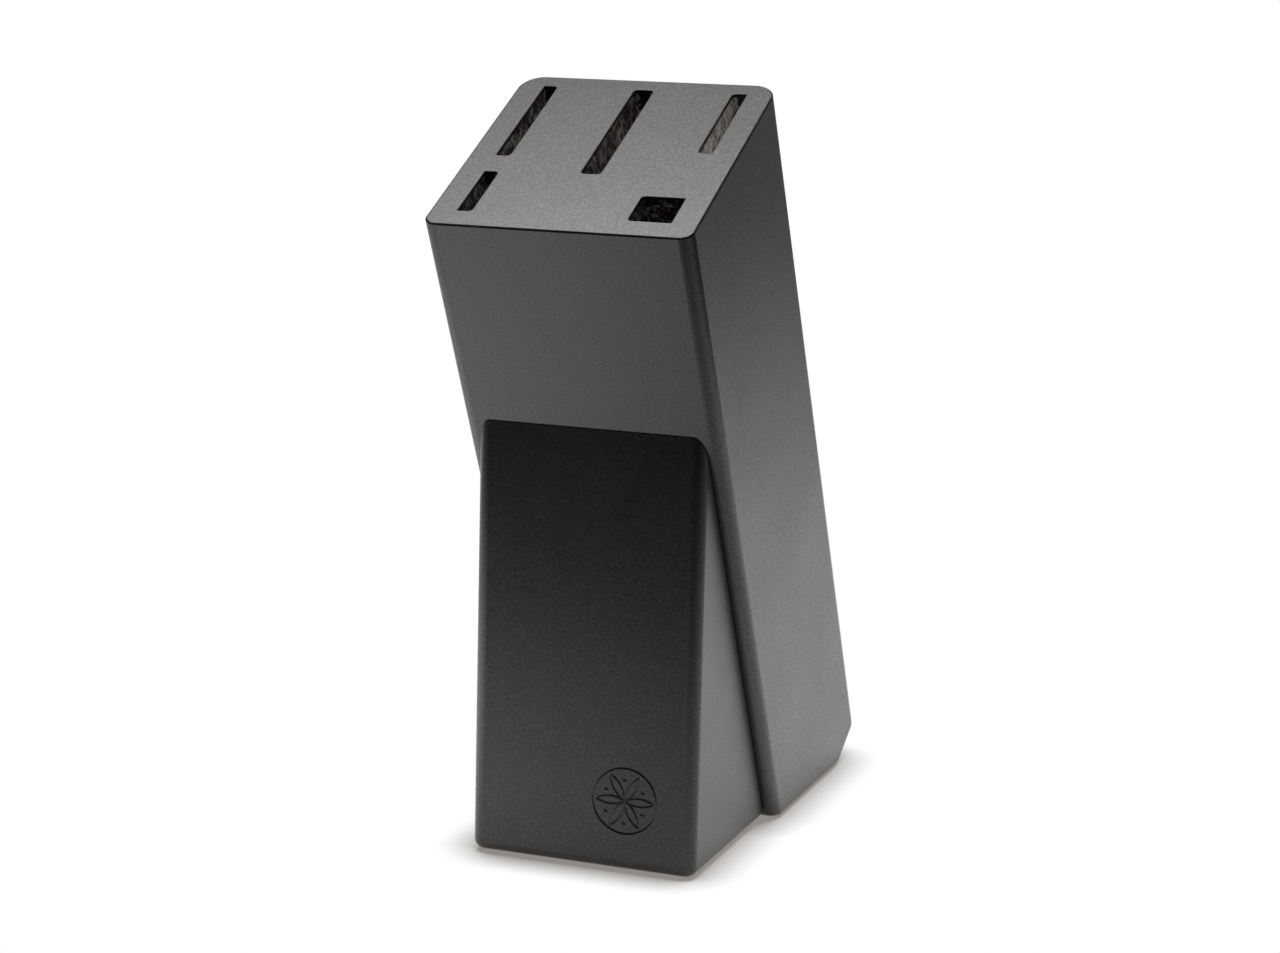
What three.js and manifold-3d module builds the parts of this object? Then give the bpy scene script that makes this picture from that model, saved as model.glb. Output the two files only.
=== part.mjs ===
// Empty five-slot knife block: a leaning body glued up from four boards, with the
// knife channels milled into the boards before gluing, and a wedge foot in front.
// Millimetres, +Z up. The front is -Y, and the origin is under the middle of the
// bounding box, on the surface that the block stands on.
import * as THREE from "three";
import { mergeVertices } from "three/addons/utils/BufferGeometryUtils.js";
import Module from "manifold-3d";

// ---- Driving dimensions (millimetres and degrees) -------------------------------

// Leaning body. Lengths "up the lean" run along the channels.
const LEAN_ANGLE = 27.5; // forward of upright
const BODY_WIDTH = 90;
const CHEEK_THICKNESS = 9.2; // the two outer boards
const FRONT_MARGIN = 8.4; // wood in front of the front channels
const REAR_MARGIN = 6.5; // wood behind the rear channels
const CHANNEL_SPACING = 10.3; // wood between the paring and the slicing channel
const FRONT_LENGTH = 242.6; // front face, from the base to the top edge
const END_FACE = 26; // square-cut end that rises clear of the table behind the base
const FRONT_EDGE = 3.2; // radius of the two long front edges
const REAR_EDGE = 8; // radius of the two long rear edges
const TOP_EDGE = 0.7; // radius round the top
const END_EDGE = 2.8; // radius round the end face
const BODY_BASE_EDGE = 1.4; // radius round the sawn base

// Channels: width is front to back, length is up the lean.
const SIDE_CHANNEL_THICKNESS = 4.7;
const SLICING_WIDTH = 45.2;
const SLICING_LENGTH = 212;
const PARING_WIDTH = 23.8;
const PARING_LENGTH = 112;
const UTILITY_WIDTH = 37.6;
const UTILITY_LENGTH = 150;
const CHEF_THICKNESS = 6.7;
const CHEF_WIDTH = 53.6;
const CHEF_LENGTH = 210;
const STEEL_SIZE = 14.2; // square channel of the sharpening steel
const STEEL_LENGTH = 215;
const CUTTER_RADIUS = 5; // left in the corners at the foot of each channel

// Wedge foot, glued and dowelled to the front of the body.
const FOOT_INSET = 5; // the foot is narrower than the body by this on each side
const FOOT_REACH = 77.3; // base of the foot, front to back
const FOOT_EDGE = 4.5; // radius of its upright front edges
const FOOT_BASE_EDGE = 3.2; // radius round its base
const JOINT_BEVEL = 0.8; // radius of the side edges that meet the body

const DOWEL_DIAMETER = 8;
const DOWEL_LENGTH = 40;
const DOWEL_CHAMFER = 1;
const DOWEL_HEIGHT = 68; // up the lean from the base

// Rubber pads in shallow recesses, each held by a countersunk screw.
const PAD_DIAMETER = 14;
const PAD_HEIGHT = 3.6;
const PAD_STANDOFF = 1; // the part of the height that stands below the wood
const PAD_EDGE = 0.8; // radius of the pad's lower edge
const PAD_SETBACK = 15; // pad centre from the front of the foot and the back of the base
const PAD_WOOD = 4.3; // wood between a recess and the outer face of its board
const SCREW_HEAD_DIAMETER = 6.6;
const SCREW_HEAD_DEPTH = 0.7; // how far the head lies up inside the pad
const HEAD_RIM = 0.3; // straight rim of the head below its countersink
const SCREW_SHANK_DIAMETER = 3.4;
const SCREW_LENGTH = 15;
const SCREW_TIP = 3;
const CROSS_WIDTH = 0.9; // arms of the driver's cross
const CROSS_LENGTH = 3.6;
const CROSS_DEPTH = 1.1;

const FIT_GAP = 0.3; // glue line, and clearance round dowels, pads and screws

// How finely round forms are faceted.
const EDGE_STEPS = 8; // a rounded corner of an outline gets twice as many facets
const END_EDGE_STEPS = 4; // facets across the radius round the end of a board or foot
const PAD_EDGE_STEPS = 4; // facets across a pad's lower edge
const ROUND_STEPS = 40; // facets round a pad, screw or dowel
const WELD = 1e-4; // vertices closer than this are one vertex

// ---- Derived dimensions ---------------------------------------------------------

const lean = THREE.MathUtils.degToRad(LEAN_ANGLE);
const bodyDepth = FRONT_MARGIN + PARING_WIDTH + CHANNEL_SPACING + SLICING_WIDTH + REAR_MARGIN;
const coreThickness = BODY_WIDTH / 2 - CHEEK_THICKNESS;
const baseSlant = bodyDepth - END_FACE; // the sawn base, measured across the lean
const baseDepth = baseSlant / Math.cos(lean);
const tailLength = baseSlant * Math.tan(lean); // end face below the front of the base
const footWidth = BODY_WIDTH - 2 * FOOT_INSET;
const footHeight = FOOT_REACH / Math.tan(lean);
const frontOverhang = FRONT_LENGTH * Math.sin(lean);
const rearOverhang = bodyDepth * Math.cos(lean) + tailLength * Math.sin(lean);
const rearFace = bodyDepth - REAR_MARGIN; // back wall of the rear channels
const dowelX = (CHEF_THICKNESS / 2 + coreThickness - STEEL_SIZE) / 2;
const recessRadius = PAD_DIAMETER / 2 + FIT_GAP;
const padX = coreThickness - recessRadius - PAD_WOOD;
const BEYOND = 20; // how far cutting shapes run past the wood
const PLATE = 8; // thickness of the plates that the body's blank is stretched between

// ---- Solids ---------------------------------------------------------------------

const wasm = await Module();
wasm.setup();

function solid(geometry) {
  const bare = geometry.clone().deleteAttribute("normal").deleteAttribute("uv");
  const merged = mergeVertices(bare, WELD);
  return new wasm.Manifold(
    new wasm.Mesh({
      numProp: 3,
      vertProperties: new Float32Array(merged.attributes.position.array),
      triVerts: new Uint32Array(merged.index.array),
    }),
  );
}

function geometryOf(made) {
  const { vertProperties, triVerts } = made.getMesh();
  const indexed = new THREE.BufferGeometry();
  indexed.setAttribute("position", new THREE.BufferAttribute(vertProperties, 3));
  indexed.setIndex(new THREE.BufferAttribute(triVerts, 1));
  const faceted = indexed.toNonIndexed();
  faceted.computeVertexNormals();
  return faceted;
}

const meet = (first, ...rest) => rest.reduce((made, next) => made.intersect(next), first);
const cut = (first, ...tools) => tools.reduce((made, tool) => made.subtract(tool), first);

// A closed outline through the given corners, each { x, y, r } rounded to radius r.
function outline(corners) {
  const shape = new THREE.Shape();
  corners.forEach((corner, i) => {
    const here = new THREE.Vector2(corner.x, corner.y);
    const before = corners.at(i - 1);
    const after = corners[(i + 1) % corners.length];
    const back = new THREE.Vector2(before.x, before.y).sub(here).normalize();
    const on = new THREE.Vector2(after.x, after.y).sub(here).normalize();
    const half = Math.acos(THREE.MathUtils.clamp(back.dot(on), -1, 1)) / 2;
    const radius = corner.r ?? 0;
    const reach = radius / Math.tan(half);
    const start = here.clone().addScaledVector(back, reach);
    if (i === 0) shape.moveTo(start.x, start.y);
    else shape.lineTo(start.x, start.y);
    if (radius === 0) return;
    const middle = back.add(on).normalize();
    const centre = here.clone().addScaledVector(middle, radius / Math.sin(half));
    const end = here.clone().addScaledVector(on, reach);
    const from = Math.atan2(start.y - centre.y, start.x - centre.x);
    const to = Math.atan2(end.y - centre.y, end.x - centre.x);
    shape.absarc(centre.x, centre.y, radius, from, to, false);
  });
  shape.closePath();
  return shape;
}

const AXES = {
  x: new THREE.Matrix4().makeBasis(
    new THREE.Vector3(0, 1, 0),
    new THREE.Vector3(0, 0, 1),
    new THREE.Vector3(1, 0, 0),
  ),
  y: new THREE.Matrix4().makeBasis(
    new THREE.Vector3(1, 0, 0),
    new THREE.Vector3(0, 0, 1),
    new THREE.Vector3(0, -1, 0),
  ),
  z: new THREE.Matrix4(),
};

// The outline pushed along an axis from one place to another. Along x it is drawn in
// (y, z), along z in (x, y), and along y in (x, z).
function prism(shape, axis, from, to) {
  return solid(prismGeometry(shape, axis, from, to));
}

function prismGeometry(shape, axis, from, to) {
  const geometry = new THREE.ExtrudeGeometry(shape, {
    depth: to - from,
    bevelEnabled: false,
    curveSegments: EDGE_STEPS,
  });
  const shift = axis === "y" ? -to : from;
  return geometry.translate(0, 0, shift).applyMatrix4(AXES[axis]);
}

// The same, along z, with its two ends rounded.
function softPrism(shape, from, to, radius) {
  const geometry = new THREE.ExtrudeGeometry(shape, {
    depth: to - from - 2 * radius,
    bevelThickness: radius,
    bevelSize: radius,
    bevelOffset: -radius,
    bevelSegments: END_EDGE_STEPS,
    curveSegments: EDGE_STEPS,
  });
  return geometry.translate(0, 0, from + radius);
}

// A profile of [radius, height] pairs turned about the z axis.
function turned(profile) {
  const points = profile.map(([radius, height]) => new THREE.Vector2(radius, height));
  return new THREE.LatheGeometry(points, ROUND_STEPS).rotateX(Math.PI / 2);
}

function rod(diameter, from, to) {
  const length = to - from;
  const geometry = new THREE.CylinderGeometry(diameter / 2, diameter / 2, length, ROUND_STEPS);
  return geometry.rotateX(Math.PI / 2).translate(0, 0, from + length / 2);
}

// ---- Leaning body ---------------------------------------------------------------
// Drawn in its own frame: x across, y from the front face to the back face, z up the
// lean, with the front of the base at the origin.

// Takes a shape that is drawn upright, on the table's axes, into the leaning frame.
const upright = (geometry) => solid(geometry.rotateX(-lean));
// Takes a solid of the leaning frame onto the table's axes.
const tipped = (made) => solid(geometryOf(made).rotateX(lean));

// Three rounded plates lie at the top, at the end face and on the base, and the blank is
// the wood stretched between them.
function bodyBlank() {
  const half = BODY_WIDTH / 2;
  const plan = outline([
    { x: -half, y: 0, r: FRONT_EDGE },
    { x: half, y: 0, r: FRONT_EDGE },
    { x: half, y: bodyDepth, r: REAR_EDGE },
    { x: -half, y: bodyDepth, r: REAR_EDGE },
  ]);
  const endPlan = outline([
    { x: -half, y: baseSlant },
    { x: half, y: baseSlant },
    { x: half, y: bodyDepth, r: REAR_EDGE },
    { x: -half, y: bodyDepth, r: REAR_EDGE },
  ]);
  const top = softPrism(plan, FRONT_LENGTH - PLATE, FRONT_LENGTH, TOP_EDGE);
  const end = softPrism(endPlan, -tailLength, PLATE - tailLength, END_EDGE);
  return wasm.Manifold.hull([solid(top), solid(end), upright(basePlate())]);
}

// The base plate, drawn upright: the body cut level with the table.
function basePlate() {
  const half = BODY_WIDTH / 2;
  const across = outline([
    { x: -half, y: 0, r: FRONT_EDGE },
    { x: half, y: 0, r: FRONT_EDGE },
    { x: half, y: baseSlant },
    { x: -half, y: baseSlant },
  ]);
  const { shape: corners } = across.extractPoints(EDGE_STEPS);
  const level = new THREE.Shape(corners.map(({ x, y }) => new THREE.Vector2(x, y / Math.cos(lean))));
  const leaned = new THREE.Matrix4().makeShear(0, 0, 0, 0, 0, -Math.tan(lean));
  return softPrism(level, 0, PLATE, BODY_BASE_EDGE).applyMatrix4(leaned);
}

// A pocket milled into a board's face between two x planes. It is open at the top of
// the body and ends in the cutter's radius.
function channel(xFrom, xTo, front, width, length) {
  const foot = FRONT_LENGTH - length;
  const shape = outline([
    { x: front, y: foot, r: CUTTER_RADIUS },
    { x: front + width, y: foot, r: CUTTER_RADIUS },
    { x: front + width, y: FRONT_LENGTH + BEYOND },
    { x: front, y: FRONT_LENGTH + BEYOND },
  ]);
  return prism(shape, "x", xFrom, xTo);
}

const sideInner = coreThickness - SIDE_CHANNEL_THICKNESS;
const channels = {
  chef: channel(
    -CHEF_THICKNESS / 2,
    CHEF_THICKNESS / 2,
    rearFace - CHEF_WIDTH,
    CHEF_WIDTH,
    CHEF_LENGTH,
  ),
  slicing: channel(
    -coreThickness,
    -sideInner,
    rearFace - SLICING_WIDTH,
    SLICING_WIDTH,
    SLICING_LENGTH,
  ),
  paring: channel(-coreThickness, -sideInner, FRONT_MARGIN, PARING_WIDTH, PARING_LENGTH),
  utility: channel(
    sideInner,
    coreThickness,
    rearFace - UTILITY_WIDTH,
    UTILITY_WIDTH,
    UTILITY_LENGTH,
  ),
  steel: channel(
    coreThickness - STEEL_SIZE,
    coreThickness,
    FRONT_MARGIN,
    STEEL_SIZE,
    STEEL_LENGTH,
  ),
};

// Dowels lie square to the joint, half in the body and half in the foot.
const dowelHole = (x) =>
  solid(
    rod(DOWEL_DIAMETER + 2 * FIT_GAP, -DOWEL_LENGTH / 2 - FIT_GAP, DOWEL_LENGTH / 2 + FIT_GAP)
      .rotateX(Math.PI / 2)
      .translate(x, 0, DOWEL_HEIGHT),
  );

function dowel() {
  const radius = DOWEL_DIAMETER / 2;
  const half = DOWEL_LENGTH / 2;
  const geometry = turned([
    [0, -half],
    [radius - DOWEL_CHAMFER, -half],
    [radius, -half + DOWEL_CHAMFER],
    [radius, half - DOWEL_CHAMFER],
    [radius - DOWEL_CHAMFER, half],
    [0, half],
  ]);
  return geometry.rotateX(Math.PI / 2);
}

// The slice of the blank between two x planes.
function slice(blank, from, to) {
  const side = outline([
    { x: -BEYOND, y: -tailLength - BEYOND },
    { x: bodyDepth + BEYOND, y: -tailLength - BEYOND },
    { x: bodyDepth + BEYOND, y: FRONT_LENGTH + BEYOND },
    { x: -BEYOND, y: FRONT_LENGTH + BEYOND },
  ]);
  return meet(blank, prism(side, "x", from, to));
}

// ---- Wedge foot -----------------------------------------------------------------
// Drawn upright, with the front of the body's base at the origin.

function footSolid() {
  const half = footWidth / 2;
  const plan = outline([
    { x: -half, y: -FOOT_REACH, r: FOOT_EDGE },
    { x: half, y: -FOOT_REACH, r: FOOT_EDGE },
    { x: half, y: BEYOND },
    { x: -half, y: BEYOND },
  ]);
  const joint = outline([
    { x: -half, y: -FOOT_REACH - BEYOND },
    { x: half, y: -FOOT_REACH - BEYOND },
    { x: half, y: -FIT_GAP, r: JOINT_BEVEL },
    { x: -half, y: -FIT_GAP, r: JOINT_BEVEL },
  ]);
  return meet(
    solid(softPrism(plan, 0, footHeight + BEYOND, FOOT_BASE_EDGE)),
    tipped(prism(joint, "z", -footHeight, 2 * footHeight)),
  );
}

// ---- Pads and screws ------------------------------------------------------------
// Both are drawn with the pad's lower face at z = 0.

const headZ = SCREW_HEAD_DEPTH;
const headCone = (SCREW_HEAD_DIAMETER - SCREW_SHANK_DIAMETER) / 2; // 45 degree countersink
const shankHole = SCREW_SHANK_DIAMETER / 2 + FIT_GAP;
const headHole = SCREW_HEAD_DIAMETER / 2 + FIT_GAP;

function pad() {
  const radius = PAD_DIAMETER / 2;
  const roll = Array.from({ length: PAD_EDGE_STEPS + 1 }, (_, i) => {
    const turn = (i / PAD_EDGE_STEPS) * (Math.PI / 2);
    return [
      radius - PAD_EDGE + PAD_EDGE * Math.sin(turn),
      PAD_EDGE - PAD_EDGE * Math.cos(turn),
    ];
  });
  return turned([
    [headHole, 0],
    ...roll,
    [radius, PAD_HEIGHT],
    [shankHole, PAD_HEIGHT],
    [shankHole, headZ + HEAD_RIM + headCone],
    [headHole, headZ + HEAD_RIM],
    [headHole, 0],
  ]);
}

function screw() {
  const head = SCREW_HEAD_DIAMETER / 2;
  const shank = SCREW_SHANK_DIAMETER / 2;
  const body = turned([
    [0, headZ],
    [head, headZ],
    [head, headZ + HEAD_RIM],
    [shank, headZ + HEAD_RIM + headCone],
    [shank, headZ + SCREW_LENGTH - SCREW_TIP],
    [0, headZ + SCREW_LENGTH],
  ]);
  const arm = () => new THREE.BoxGeometry(CROSS_LENGTH, CROSS_WIDTH, 2 * CROSS_DEPTH);
  return cut(
    solid(body),
    solid(arm().translate(0, 0, headZ)),
    solid(arm().rotateZ(Math.PI / 2).translate(0, 0, headZ)),
  );
}

// The recess and pilot hole for one pad, on the table's axes, with the base at z = 0.
function padHoles([x, y]) {
  const ceiling = PAD_HEIGHT - PAD_STANDOFF + FIT_GAP;
  const pilotTop = headZ + SCREW_LENGTH - PAD_STANDOFF + FIT_GAP;
  return [rod(2 * recessRadius, -BEYOND, ceiling), rod(2 * shankHole, 0, pilotTop)].map((hole) =>
    hole.translate(x, y, 0),
  );
}

const frontPadY = PAD_SETBACK - FOOT_REACH;
const rearPadY = baseDepth - PAD_SETBACK;
const pads = {
  front: { left: [-padX, frontPadY], right: [padX, frontPadY] },
  rear: { left: [-padX, rearPadY], right: [padX, rearPadY] },
};

// ---- Materials ------------------------------------------------------------------

const finish = (color, roughness, metalness = 0) =>
  new THREE.MeshStandardMaterial({ color, roughness, metalness });
const blackLacquer = () => finish(0x3b3b3b, 0.5);
const rawBeech = () => finish(0xc79a6b, 0.75);
const blackRubber = () => finish(0x1d1d1d, 0.9);
const zincSteel = () => finish(0xb9bcc0, 0.35, 1);

function piece(name, shape, material) {
  const geometry = shape.isBufferGeometry ? shape : geometryOf(shape);
  const mesh = new THREE.Mesh(geometry, material);
  mesh.name = name;
  return mesh;
}

// ---- Assembly -------------------------------------------------------------------

const knifeBlock = new THREE.Group();

const wood = new THREE.Group();
wood.position.set(0, (frontOverhang - rearOverhang) / 2, PAD_STANDOFF);
knifeBlock.add(wood);

const leaning = new THREE.Group();
leaning.rotation.x = lean;
wood.add(leaning);

const blank = bodyBlank();
const leftHoles = [
  channels.slicing,
  channels.paring,
  channels.chef,
  dowelHole(-dowelX),
  ...padHoles(pads.rear.left).map(upright),
];
const rightHoles = [
  channels.utility,
  channels.steel,
  channels.chef,
  dowelHole(dowelX),
  ...padHoles(pads.rear.right).map(upright),
];
const leftCore = cut(slice(blank, -coreThickness, 0), ...leftHoles);
const rightCore = cut(slice(blank, 0, coreThickness), ...rightHoles);
const leftCheek = slice(blank, -BODY_WIDTH, -coreThickness);
const rightCheek = slice(blank, coreThickness, BODY_WIDTH);
leaning.add(
  piece("left_cheek", leftCheek, blackLacquer()),
  piece("left_core", leftCore, blackLacquer()),
  piece("right_core", rightCore, blackLacquer()),
  piece("right_cheek", rightCheek, blackLacquer()),
);

const footHoles = [
  tipped(dowelHole(-dowelX)),
  tipped(dowelHole(dowelX)),
  ...padHoles(pads.front.left).map(solid),
  ...padHoles(pads.front.right).map(solid),
];
wood.add(piece("front_foot", cut(footSolid(), ...footHoles), blackLacquer()));

for (const [side, x] of [["left", -dowelX], ["right", dowelX]]) {
  const pin = piece(`${side}_dowel`, dowel(), rawBeech());
  pin.position.set(x, 0, DOWEL_HEIGHT);
  leaning.add(pin);
}

for (const [end, places] of Object.entries(pads)) {
  for (const [side, [x, y]] of Object.entries(places)) {
    const rubber = piece(`${end}_${side}_pad`, pad(), blackRubber());
    const fastener = piece(`${end}_${side}_screw`, screw(), zincSteel());
    rubber.position.set(x, y, -PAD_STANDOFF);
    fastener.position.set(x, y, -PAD_STANDOFF);
    wood.add(rubber, fastener);
  }
}

export default knifeBlock;
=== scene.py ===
"""Looks of an empty five-slot knife block: a leaning body glued up from four boards,
five milled channels, a wedge foot, dowels, rubber pads and their screws.

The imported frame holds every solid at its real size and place, in metres. Each operator
below dresses one group of pieces in that frame, and the last one sets up the stage.
"""

import math

import bmesh
import bpy
import numpy as np
from bpy.props import FloatProperty, FloatVectorProperty, IntProperty, PointerProperty
from mathutils import Matrix, Vector


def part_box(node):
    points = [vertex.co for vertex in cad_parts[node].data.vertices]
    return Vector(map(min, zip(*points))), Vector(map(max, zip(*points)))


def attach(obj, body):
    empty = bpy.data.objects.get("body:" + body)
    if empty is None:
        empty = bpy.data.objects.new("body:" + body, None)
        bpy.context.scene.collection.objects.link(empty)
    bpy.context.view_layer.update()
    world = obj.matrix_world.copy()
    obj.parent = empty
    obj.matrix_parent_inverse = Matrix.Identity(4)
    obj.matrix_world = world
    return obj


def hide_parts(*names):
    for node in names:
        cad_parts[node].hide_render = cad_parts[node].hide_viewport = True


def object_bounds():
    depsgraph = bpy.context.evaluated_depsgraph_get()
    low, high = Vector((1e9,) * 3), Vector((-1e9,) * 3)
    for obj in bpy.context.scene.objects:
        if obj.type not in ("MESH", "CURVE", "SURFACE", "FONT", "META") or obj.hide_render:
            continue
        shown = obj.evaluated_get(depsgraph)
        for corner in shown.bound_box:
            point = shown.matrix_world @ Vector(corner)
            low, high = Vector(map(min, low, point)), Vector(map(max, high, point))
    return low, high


bl_info = {
    "name": "Knife block",
    "version": (1, 0, 0),
    "blender": (4, 5, 0),
    "location": "3D View > Sidebar > Knife Block",
    "description": "Dresses an empty five-slot knife block and sets up its studio",
    "category": "Object",
}

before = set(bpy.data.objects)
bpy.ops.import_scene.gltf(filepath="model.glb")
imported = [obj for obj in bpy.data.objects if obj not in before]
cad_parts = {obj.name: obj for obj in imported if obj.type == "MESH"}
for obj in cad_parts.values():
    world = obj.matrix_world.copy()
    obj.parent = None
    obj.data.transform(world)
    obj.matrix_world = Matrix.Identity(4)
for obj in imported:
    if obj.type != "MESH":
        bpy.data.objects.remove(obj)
cad_box = [list(corner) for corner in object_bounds()]
boxes = {name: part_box(name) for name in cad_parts}

ROOT = "root"
BOARDS = ("left_cheek", "left_core", "right_core", "right_cheek")
FOOT = "front_foot"
DOWELS = sorted(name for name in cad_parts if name.endswith("_dowel"))
PADS = sorted(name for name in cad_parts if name.endswith("_pad"))
SCREWS = sorted(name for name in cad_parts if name.endswith("_screw"))

MM = 0.001
SAME_POINT = 0.002 * MM  # corners closer than this are one corner
ON_FACE = 0.02 * MM  # a point this near a plane lies on it
FLAT = math.radians(0.4)  # facets that meet at less than this are one flat face
SHARP = math.radians(40)  # edges that turn further than this stay crisp
PARALLEL = 0.999  # cosine from which two directions count as one

LOOKS_UP = 0.7  # a face whose normal rises by more than this looks up

NARROW = 8 * MM  # a blade's channel is narrower than this, and the steel's is wider
LEAST_FLAT = 300 * MM**2  # flat ground larger than this is shaded dead flat

OUTSIDE, MILLED = 0, 1  # material places on every piece of wood


def top_normal(node):
    """The square-cut top of a board faces along its grain."""
    faces = [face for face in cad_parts[node].data.polygons if face.normal.z > LOOKS_UP]
    return max(faces, key=lambda face: face.area).normal.normalized()


ACROSS = Vector((1, 0, 0))
GRAIN = top_normal("left_core")  # up the lean
DEPTH = GRAIN.cross(ACROSS)  # from the front face to the back face
UP = Vector((0, 0, 1))


def corners_of(nodes):
    """Every corner of the given nodes, one row each."""
    return np.array([vertex.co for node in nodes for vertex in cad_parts[node].data.vertices])


def span_along(node, axis):
    """Lowest and highest place of a node's corners along an axis."""
    places = corners_of([node]) @ np.array(axis)
    return places.min(), places.max()


BODY_FRONT, BODY_BACK = span_along("left_core", DEPTH)
BODY_MIDDLE = (BODY_FRONT + BODY_BACK) / 2
BODY_HALFWAY = sum(corner.z for corner in boxes["left_core"]) / 2  # height of the body's middle
FRONT_EDGE = 3.2 * MM  # radius of the body's long front edges in the solids


# ---- Sizes and colours ------------------------------------------------------------


class KnifeBlockSizes(bpy.types.PropertyGroup):
    """Sizes of the fine work that the solids leave out."""

    front_edge: FloatProperty(
        name="Front edge",
        description="Radius of the body's two long front edges after sanding",
        default=4.3 * MM,
        min=0,
        unit="LENGTH",
    )
    mouth_edge: FloatProperty(
        name="Mouth edge",
        description="Width of the sanded edge round each channel's mouth",
        default=0.35 * MM,
        min=0,
        unit="LENGTH",
    )
    channel_corner: FloatProperty(
        name="Channel corner",
        description="Radius that the cutter leaves in the upright inner corners of a channel",
        default=1.3 * MM,
        min=0,
        unit="LENGTH",
    )
    roundel_radius: FloatProperty(
        name="Roundel radius",
        description="Radius of the pressed roundel on the foot",
        default=11.8 * MM,
        min=1 * MM,
        unit="LENGTH",
    )
    roundel_depth: FloatProperty(
        name="Roundel depth",
        description="How deep the lines of the roundel are pressed",
        default=0.3 * MM,
        min=0,
        unit="LENGTH",
    )
    roundel_line: FloatProperty(
        name="Roundel line",
        description="Width of the roundel's lines",
        default=0.9 * MM,
        min=0.1 * MM,
        unit="LENGTH",
    )
    roundel_side: FloatProperty(
        name="Roundel from the side",
        description="Roundel's centre from the foot's right side",
        default=24.6 * MM,
        unit="LENGTH",
    )
    roundel_height: FloatProperty(
        name="Roundel height",
        description="Roundel's centre above the foot's base",
        default=24.2 * MM,
        unit="LENGTH",
    )
    dowel_flutes: IntProperty(
        name="Dowel flutes",
        description="Number of glue flutes round a dowel",
        default=18,
        min=3,
    )
    flute_depth: FloatProperty(
        name="Flute depth",
        description="Depth of a dowel's glue flutes",
        default=0.35 * MM,
        min=0,
        unit="LENGTH",
    )
    dowel_chamfer: FloatProperty(
        name="Dowel chamfer",
        description="Chamfer on a dowel's ends",
        default=1 * MM,
        min=0,
        unit="LENGTH",
    )
    pad_edge: FloatProperty(
        name="Pad edge",
        description="Radius of a pad's moulded lower edge",
        default=0.8 * MM,
        min=0,
        unit="LENGTH",
    )
    fit: FloatProperty(
        name="Fit",
        description="Clearance between a pad's bore and its screw",
        default=0.3 * MM,
        min=0,
        unit="LENGTH",
    )
    shank_diameter: FloatProperty(
        name="Shank diameter",
        description="Outer diameter of a screw's thread",
        default=3.4 * MM,
        min=1 * MM,
        unit="LENGTH",
    )
    thread_pitch: FloatProperty(
        name="Thread pitch",
        description="Distance between the turns of a screw's thread",
        default=1.3 * MM,
        min=0.5 * MM,
        unit="LENGTH",
    )
    thread_depth: FloatProperty(
        name="Thread depth",
        description="Height of a screw's thread above its core",
        default=0.5 * MM,
        min=0,
        unit="LENGTH",
    )


class KnifeBlockFinish(bpy.types.PropertyGroup):
    """Colours and sheen of the pieces."""

    lacquer: FloatVectorProperty(
        name="Lacquer",
        description="Black lacquer on the outside of the wood",
        subtype="COLOR",
        default=(0.0120, 0.0103, 0.0090),
        min=0,
        max=1,
    )
    lacquer_roughness: FloatProperty(
        name="Lacquer roughness",
        description="Satin sheen of the lacquer",
        default=0.36,
        min=0,
        max=1,
        subtype="FACTOR",
    )
    lacquer_ior: FloatProperty(
        name="Lacquer index",
        description="Refractive index of the lacquer, which sets how much it mirrors",
        default=1.53,
        min=1,
        max=3,
    )
    milled: FloatVectorProperty(
        name="Milled wood",
        description="Stained wood on the walls of the channels",
        subtype="COLOR",
        default=(0.032, 0.019, 0.012),
        min=0,
        max=1,
    )
    # Partly painted light: the streaks' colour is far paler than beech, so that channel walls the
    # lamps barely reach look lit.
    scuffed_and_lit: FloatVectorProperty(
        name="Scuffed wood",
        description="Paler streaks that the cutter left on the channel walls",
        subtype="COLOR",
        default=(0.88, 0.86, 0.83),
        min=0,
        max=1,
    )
    beech: FloatVectorProperty(
        name="Beech",
        description="Raw beech of the dowels",
        subtype="COLOR",
        default=(0.56, 0.34, 0.18),
        min=0,
        max=1,
    )
    rubber: FloatVectorProperty(
        name="Rubber",
        description="Black rubber of the pads",
        subtype="COLOR",
        default=(0.013, 0.013, 0.014),
        min=0,
        max=1,
    )
    zinc: FloatVectorProperty(
        name="Zinc",
        description="Zinc plating of the screws",
        subtype="COLOR",
        default=(0.60, 0.62, 0.65),
        min=0,
        max=1,
    )


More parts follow.
